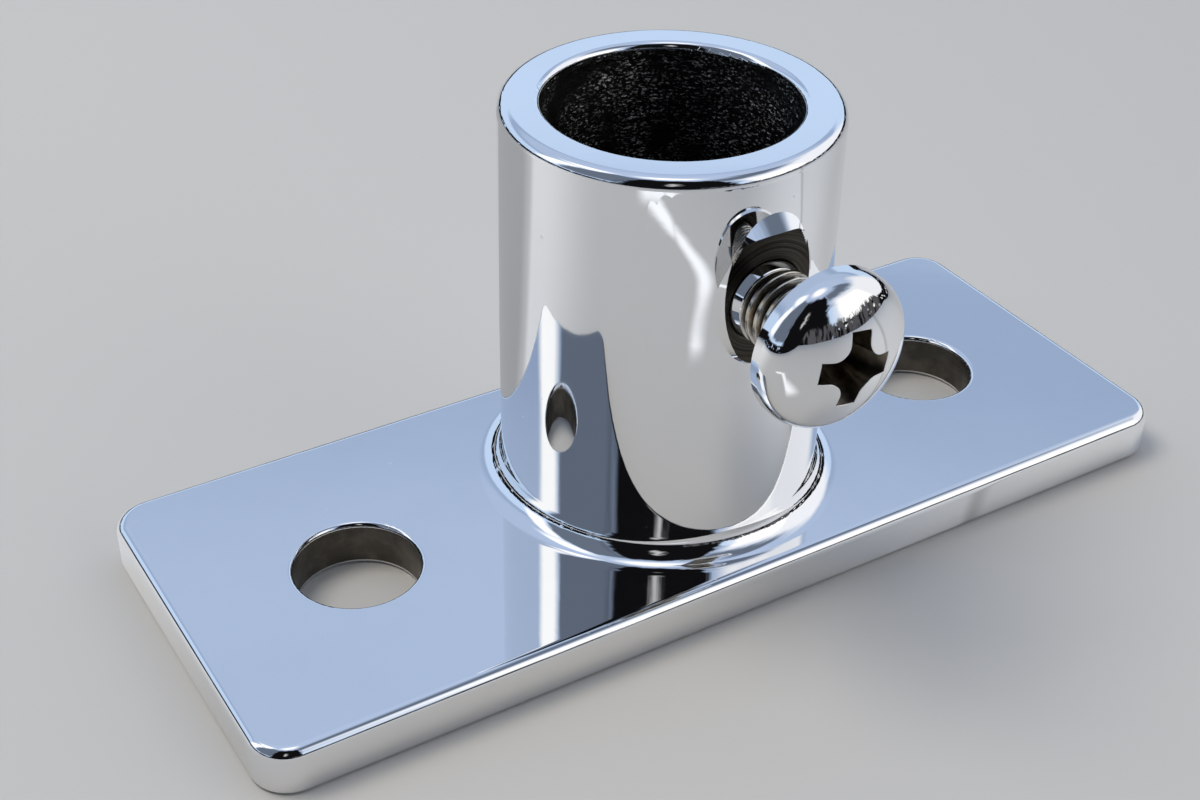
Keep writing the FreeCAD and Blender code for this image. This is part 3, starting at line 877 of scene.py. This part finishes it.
# %% Polished neck of the screw
def lathe(name, profile, sides, material):
    """Turns a profile of (radius, distance in front) round the screw's axis."""
    turns = np.linspace(0, 2 * math.pi, sides, endpoint=False)
    points = [(r * math.sin(a) * MM, -front * MM, (SCREW_HEIGHT + r * math.cos(a)) * MM)
              for r, front in profile for a in turns]
    faces, normals = [], []
    for row, ((r0, front0), (r1, front1)) in enumerate(zip(profile, profile[1:])):
        length = math.hypot(r1 - r0, front1 - front0)
        outwards, forwards = (front1 - front0) / length, -(r1 - r0) / length
        for k in range(sides):
            after = (k + 1) % sides
            here, further = row * sides, (row + 1) * sides
            faces.append((here + k, further + k, further + after, here + after))
            for a in turns[[k, k, after, after]]:
                normals.append((outwards * math.sin(a), -forwards, outwards * math.cos(a)))
    mesh = bpy.data.meshes.new(name)
    mesh.from_pydata(points, [], faces)
    mesh.materials.append(material)
    mesh.shade_smooth()
    mesh.normals_split_custom_set(normals)
    print(name, len(faces), "faces")
    return add_object(name, mesh)


NECK_RADIUS = 4.0
NECK_SIDES = 96
neck_profile = [
    (POINT_RADIUS - 0.05, 16.5),
    (NECK_RADIUS - 0.1, 16.9),
    (NECK_RADIUS, 17.0),
    (NECK_RADIUS, 17.12),
    (NECK_RADIUS - 0.36, 17.92),
    (NECK_RADIUS - 0.5, 18.05),
]
neck = lathe("screw_neck", neck_profile, NECK_SIDES, screw_plating)

# %% [markdown]
# The bore's skin is real geometry, because its grains show against the light at the
# rim. Geometry Nodes take a fine tube. Its points that fall inside the screw's hole
# first move out to the hole's edge, so that the hole gets a clean round border.

# %% Skin of the bore: a tube with room for the screw
SKIN_SIDES, SKIN_ROWS = 430, 225

bore = GeometryTree("bore_skin", {
    "Radius": BORE_RADIUS * MM,
    "Height": (SOCKET_TOP - RIM_INNER_ROUNDING) * MM,
    "Clump depth": 0.07 * MM,
    "Grain depth": 0.09 * MM,
    "Chip reach": 0.16 * MM,
    "Screw height": SCREW_HEIGHT * MM,
    "Hole radius": SCREW_HOLE_RADIUS * MM,
})
tube = bore.node("GeometryNodeMeshCylinder", {"fill_type": "NONE"}, {
    "Vertices": SKIN_SIDES,
    "Side Segments": SKIN_ROWS,
    "Radius": bore.given("Radius"),
    "Depth": bore.given("Height"),
})
start_place = bore.node("GeometryNodeInputPosition")
start_x, start_y, start_z = bore.split(start_place)
start_up = start_z + bore.given("Height") / 2.0
over_screw = start_up - bore.given("Screw height")
reach = (start_x * start_x + over_screw * over_screw).maths("SQRT")
in_front = (-start_y) > 0.0
grow_by = (bore.given("Hole radius") / reach).maths("MAXIMUM", 1.0) - 1.0
shift = grow_by * in_front + 1.0
x = start_x * shift
up = over_screw * shift + bore.given("Screw height")
left_over = bore.given("Radius") * bore.given("Radius") - x * x
y = start_y.maths("SIGN") * left_over.maths("MAXIMUM", 0.0).maths("SQRT")

# %% [markdown]
# Then a fixed noise pushes each point into the metal: clumps first, grains on top. The
# push fades out at both ends and at the screw's hole, so the skin meets its neighbours
# without a gap. Only a few chips lean inwards just under the mouth, where the casting
# broke a little. Last, the faces inside the screw's hole are deleted, and the tube is
# turned inside out, because a bore is seen from within.

# %% Skin of the bore: grain, chips and the open hole
FADE = 0.0004
CHIPS_FULL_FROM, CHIPS_FULL_TO, CHIPS_END = 0.00025, 0.0003, 0.0012
ON_THE_EDGE = 0.9999

long_grain = bore.stretch(start_place, (1.0, 1.0, 1.9))
clumps = bore.noise(long_grain, 520.0, 2.0).ramp(0.3, 0.75) * bore.given("Clump depth")
grains = bore.noise(long_grain, 1500.0, 2.0, 0.7).ramp(0.3, 0.7) * bore.given("Grain depth")
from_top = bore.given("Height") - up
off_hole = (reach - bore.given("Hole radius")).ramp(0.0, FADE).maths("MAXIMUM", y > 0.0)
fade = from_top.ramp(0.0, FADE) * up.ramp(0.0, FADE) * off_hole
chips = bore.noise(start_place, 900.0, 3.0, 0.7).ramp(0.50, 0.66)
near_mouth = from_top.ramp(0.0, CHIPS_FULL_FROM) * from_top.ramp(CHIPS_END, CHIPS_FULL_TO)
push = (clumps + grains) * fade * (1.0 - near_mouth) - chips * near_mouth * bore.given("Chip reach")
scale = (bore.given("Radius") + push) / bore.given("Radius")
pushed = bore.node("ShaderNodeCombineXYZ", {}, {"X": x * scale, "Y": y * scale, "Z": up})
moved = bore.node("GeometryNodeSetPosition", {}, {"Geometry": tube, "Position": pushed})
moved_x, moved_y, moved_z = bore.split(bore.node("GeometryNodeInputPosition"))
moved_over = moved_z - bore.given("Screw height")
moved_reach = (moved_x * moved_x + moved_over * moved_over).maths("SQRT")
in_hole = (moved_reach < bore.given("Hole radius") * ON_THE_EDGE) * ((-moved_y) > 0.0)
opened = bore.node("GeometryNodeDeleteGeometry", {"domain": "FACE"}, {
    "Geometry": moved,
    "Selection": in_hole,
})
flipped = bore.node("GeometryNodeFlipFaces", {}, {"Mesh": opened})
bore_skin = bore.grow("cast_bore_skin", flipped, cast_bore, {"Grain depth": 0.09 * MM})

# %% [markdown]
# The punch that formed the cross recess raised a thin bright edge round it. The line
# where the crown meets the recess is taken from the head's own skin, and Geometry
# Nodes sweep a hair-thin round wire along it. The line sinks by half the wire, so that
# the wire stays inside the head's height.

# %% Edge of the recess
WIRE_THICKNESS = 0.12
WIRE_SIDES = 8


def border_edges(made, first, second):
    """The edges between two materials of a mesh, as points and pairs."""
    mesh = made.data
    names = [material.name for material in mesh.materials]
    touching = {}
    for face in mesh.polygons:
        for key in face.edge_keys:
            touching.setdefault(key, set()).add(names[face.material_index])
    keys = [key for key, found in touching.items() if {first.name, second.name} <= found]
    corners = sorted({index for key in keys for index in key})
    rank = {index: number for number, index in enumerate(corners)}
    return [mesh.vertices[index].co.copy() for index in corners], [(rank[a], rank[b]) for a, b in keys]


wire = GeometryTree("recess_edge", {"Thickness": WIRE_THICKNESS * MM})
path = wire.node("GeometryNodeMeshToCurve", {}, {"Mesh": wire.given("Geometry")})
ring = wire.node("GeometryNodeCurvePrimitiveCircle", {}, {
    "Resolution": WIRE_SIDES,
    "Radius": wire.given("Thickness") / 2.0,
})
swept = wire.node("GeometryNodeCurveToMesh", {}, {"Curve": path, "Profile Curve": ring})
edge_points, edge_pairs = border_edges(head, screw_plating, recess_metal)
sink = Vector((0.0, WIRE_THICKNESS / 2 * MM, 0.0))
recess_line = bpy.data.meshes.new("recess_line")
recess_line.from_pydata([point + sink for point in edge_points], edge_pairs, [])
print("recess edge:", len(edge_points), "points")
wire_values = {"Thickness": WIRE_THICKNESS * MM}
recess_edge = wire.grow("recess_edge", swept, screw_plating, wire_values, recess_line)

# %% [markdown]
# Each piece rides on its body and stands for its solid.
# The flange's pieces stay, and the screw's pieces slide with it.

# %% Everything rides on its body and stands for its solid
for piece in (flange, flare, bore_skin):
    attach(piece, "base")
    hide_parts("flange")
for piece in (head, neck, thread_piece, recess_edge):
    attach(piece, "screw")
    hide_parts("clamp_screw")

# %% [markdown]
# The floor is plain and pale. It is also what the upright walls reflect, because a
# camera that looks down sees the floor in every upright mirror. In a real studio that
# floor would be uneven in light, so for mirrors alone light and shade are painted on it:
# paler pools of painted light left and right, painted shade behind on the left, and a
# narrow painted streak of light with a bend, which shows as the bright line from the rim
# to the boss. Light Path keeps all of this from the camera.

# %% Floor
FLOOR_GREY = (0.585, 0.570, 0.545, 1.0)
SHADED_GREY = (0.42, 0.41, 0.395, 1.0)
LIGHT_POOL_WHITE = (0.86, 0.842, 0.81, 1.0)
LIGHT_STREAK_WHITE = (1.35, 1.33, 1.30, 1.0)
DEGREE = math.pi / 180
STREAK_DIRECTION = -18.5
STREAK_TURN = 17.5
FLOOR_RADIUS = 6.0

floor_material, tree, place = new_material("pale_floor")
floor_x, floor_y = tree.split(place)[:2]
# The direction from the object in degrees: 0 in front of the screw, growing towards +X
direction = floor_x.maths("ARCTAN2", -floor_y) / DEGREE
far_off = tree.length(place)
in_mirrors = tree.node("ShaderNodeLightPath", output="Is Glossy Ray")
# Painted light and shade, for mirrors only: pools of light, shade behind on the left, a streak of light
left_pool = direction.ramp(-130, -124) * direction.ramp(-72, -118)
right_pool = direction.ramp(5, 48) * direction.ramp(52, 50)
far_right_pool = direction.ramp(52, 54) * direction.ramp(100, 56) * 0.8
beside = direction - STREAK_DIRECTION + far_off.ramp(0.064, 0.106, smooth=False) * STREAK_TURN
streak = beside.ramp(-4.0, 2.0) * beside.ramp(10.0, 2.0)
streak = streak * far_off.ramp(0.055, 0.068) * far_off.ramp(0.112, 0.104)
bend = far_off.ramp(0.099, 0.105) * far_off.ramp(0.114, 0.107)
bend = bend * direction.ramp(-54, -46) * direction.ramp(-33, -38)
shade = tree.mix(direction.ramp(-128, -138) * in_mirrors, FLOOR_GREY, SHADED_GREY)
shade = tree.mix((left_pool + right_pool + far_right_pool) * in_mirrors, shade, LIGHT_POOL_WHITE)
shade = tree.mix(streak.maths("MAXIMUM", bend) * in_mirrors, shade, LIGHT_STREAK_WHITE)
close_material(tree, {"Base Color": shade, "Roughness": 0.8})
bpy.ops.mesh.primitive_circle_add(vertices=96, radius=FLOOR_RADIUS, fill_type="NGON")
floor = bpy.context.object
floor.name = "floor"
floor.data.materials.append(floor_material)
print("floor", 2 * FLOOR_RADIUS, "m across")

# %% [markdown]
# The camera stands where the photograph was taken from. Its place comes from a fit of
# the plate's and the socket's edges.

# %% Camera
CAMERA_AZIMUTH = math.radians(-31.81)
CAMERA_ELEVATION = math.radians(34.776)
CAMERA_ROLL = math.radians(1.128)
CAMERA_DISTANCE = 196.406
CAMERA_TARGET = Vector((-5.683, 2.956, 13.177))
CAMERA_FOCUS = 1839.592
IMAGE_WIDTH = 1200
SENSOR_WIDTH = 36.0

back = Vector((math.sin(CAMERA_AZIMUTH) * math.cos(CAMERA_ELEVATION),
               -math.cos(CAMERA_AZIMUTH) * math.cos(CAMERA_ELEVATION),
               math.sin(CAMERA_ELEVATION)))
level = back.cross(Vector((0, 0, -1))).normalized()
lift = level.cross(-back)
camera_right = level * math.cos(CAMERA_ROLL) + lift * math.sin(CAMERA_ROLL)
camera_up = lift * math.cos(CAMERA_ROLL) - level * math.sin(CAMERA_ROLL)
camera_data = bpy.data.cameras.new("camera")
camera = add_object("camera", camera_data)
camera_turn = Matrix((camera_right, camera_up, back)).transposed().to_4x4()
camera.matrix_world = Matrix.Translation((CAMERA_TARGET + back * CAMERA_DISTANCE) * MM) @ camera_turn
camera_data.sensor_width = SENSOR_WIDTH
camera_data.lens = CAMERA_FOCUS * SENSOR_WIDTH / IMAGE_WIDTH
camera_data.clip_start = 0.005
bpy.context.scene.camera = camera
print("camera with a lens of", round(camera_data.lens, 1), "mm")

# %% [markdown]
# Polished metal looks like the room around it, so the room is the most important part
# of this picture. This one is a photographer's corner: a light blue sky of paper
# behind and overhead, white panels left and right, and the dark room behind the camera
# with a low ragged line of furniture. An image of a room would be one way. Here it is
# painted into the world by direction, in degrees round and up, so that each patch can
# be set where a reflection in the metal needs it.

# %% A world that is painted by direction
world = bpy.data.worlds.new("studio")
bpy.context.scene.world = world
world.use_nodes = True
tree = Tree(world.node_tree)
looking = tree.node("ShaderNodeTexCoord", output="Generated")
look_x, look_y, look_z = tree.split(looking)
# Degrees round count as on the floor
degrees_round = look_x.maths("ARCTAN2", -look_y) / DEGREE
degrees_up = look_z.maths("ARCSINE") / DEGREE
wander = (tree.noise(looking, 9.0, 4.0, 0.6) - 0.5) * 9.0


def patch(left, right, low, high, soft=2.0, rag=1.0):
    """A soft rectangle between two directions round and two up, with ragged edges."""
    around = degrees_round + wander * rag
    upwards = degrees_up + wander * rag
    across = around.ramp(left - soft, left + soft) * around.ramp(right + soft, right - soft)
    return across * upwards.ramp(low - soft, low + soft) * upwards.ramp(high + soft, high - soft)


# %% Sky of the room
BRIGHT_BLUE = (0.63, 0.80, 1.06, 1.0)
RIGHT_BLUE = (0.37, 0.48, 0.69, 1.0)
LEFT_BLUE = (0.48, 0.60, 0.82, 1.0)
HIGH_BLUE = (0.52, 0.64, 0.88, 1.0)
WHITE = (1.36, 1.36, 1.35, 1.0)

room = tree.mix(degrees_up.ramp(26, 31), BRIGHT_BLUE, RIGHT_BLUE)
room = tree.mix(degrees_up.ramp(32, 40), room, LEFT_BLUE)
room = tree.mix(degrees_up.ramp(50, 66), room, HIGH_BLUE)
room = tree.mix(degrees_up.ramp(76, 86), room, WHITE)

# %% [markdown]
# Panels come next. On the left a white one stands between blue and slate, and above it
# a soft white patch stands for the lamp, whose own square mirrors don't show. On the
# right it is white low down, with slate over it.

# %% Panels left and right
SLATE = (0.15, 0.185, 0.25, 1.0)
SOFT_WHITE = (1.05, 1.07, 1.12, 1.0)
LAMP_WHITE = (1.7, 1.7, 1.7, 1.0)

room = tree.mix(patch(-108, -66, 14, 72), room, SLATE)
room = tree.mix(patch(-127, -111, 14, 52, 3.5, 0.4), room, WHITE)
room = tree.mix(patch(-146, -114, 56, 70, 8.0, 0.3), room, LAMP_WHITE)
room = tree.mix(patch(18, 110, -5, 48, 8.0), room, SOFT_WHITE)
room = tree.mix(patch(10, 84, 50, 70, 6.0), room, SLATE)
room = tree.mix(patch(22, 60, -5, 38, 4.0), room, WHITE)

# %% [markdown]
# Behind the camera it is dark, with one pale spot. Low dark things stand all round, with
# gaps between them, and upright streaks of grey break them to the camera's right.

# %% Dark side of the room
BLACK = (0.006, 0.006, 0.007, 1.0)
SPOT = (0.9, 0.9, 0.9, 1.0)
FURNITURE = (0.10, 0.10, 0.11, 1.0)

room = tree.mix(patch(-66, -14, -5, 72, 5.0, 1.3), room, BLACK)
room = tree.mix(patch(-45, 9, -5, 70, 2.5, 1.6), room, BLACK)
room = tree.mix(patch(-34, -27, 29, 46, 3.0, 2.2) * 0.7, room, SPOT)
ragged_up = degrees_up + (tree.noise(looking, 30.0, 3.0, 0.7) - 0.5) * 7.0
low_things = ragged_up.ramp(-4, -3) * ragged_up.ramp(10, 9)
room = tree.mix(low_things * tree.noise(looking, 14.0, 2.0).ramp(0.34, 0.40), room, BLACK)
streaks = tree.noise(tree.stretch(looking, (1.0, 1.0, 0.12)), 26.0, 2.0, 0.6).ramp(0.40, 0.52)
room = tree.mix(patch(-15, 62, -5, 12, 1.5) * streaks, room, FURNITURE)
background = tree.node("ShaderNodeBackground", {}, {"Color": room, "Strength": 1.0})
tree.node("ShaderNodeOutputWorld", {}, {"Surface": background})
print("world", world.name, "has", len(world.node_tree.nodes), "nodes")

# %% [markdown]
# One soft lamp, high on the left, gives the floor its shadow. It is warm, because the
# blue paper would otherwise tint the floor. Mirrors don't show it, because its square
# has hard edges, and the soft white patch of the room stands there instead.

# %% Soft lamp
LAMP_PLACE = Vector((-0.30, 0.25, 0.80))
LAMP_SIZE = 0.45
LAMP_POWER = 3.8
LAMP_COLOUR = (1.0, 0.93, 0.80)

lamp_data = bpy.data.lights.new("soft_key", "AREA")
lamp_data.shape = "SQUARE"
lamp_data.size = LAMP_SIZE
lamp_data.energy = LAMP_POWER
lamp_data.color = LAMP_COLOUR
lamp = add_object("soft_key", lamp_data)
lamp.location = LAMP_PLACE
lamp.rotation_euler = (-LAMP_PLACE).to_track_quat("-Z", "Y").to_euler()
lamp.visible_glossy = False
print("lamp of", LAMP_POWER, "W,", round(LAMP_PLACE.length, 2), "m away")

# %% [markdown]
# Blender can bend colours the way film does. Here they stay as they were set.

# %% Colours as they are
bpy.context.scene.view_settings.view_transform = "Standard"
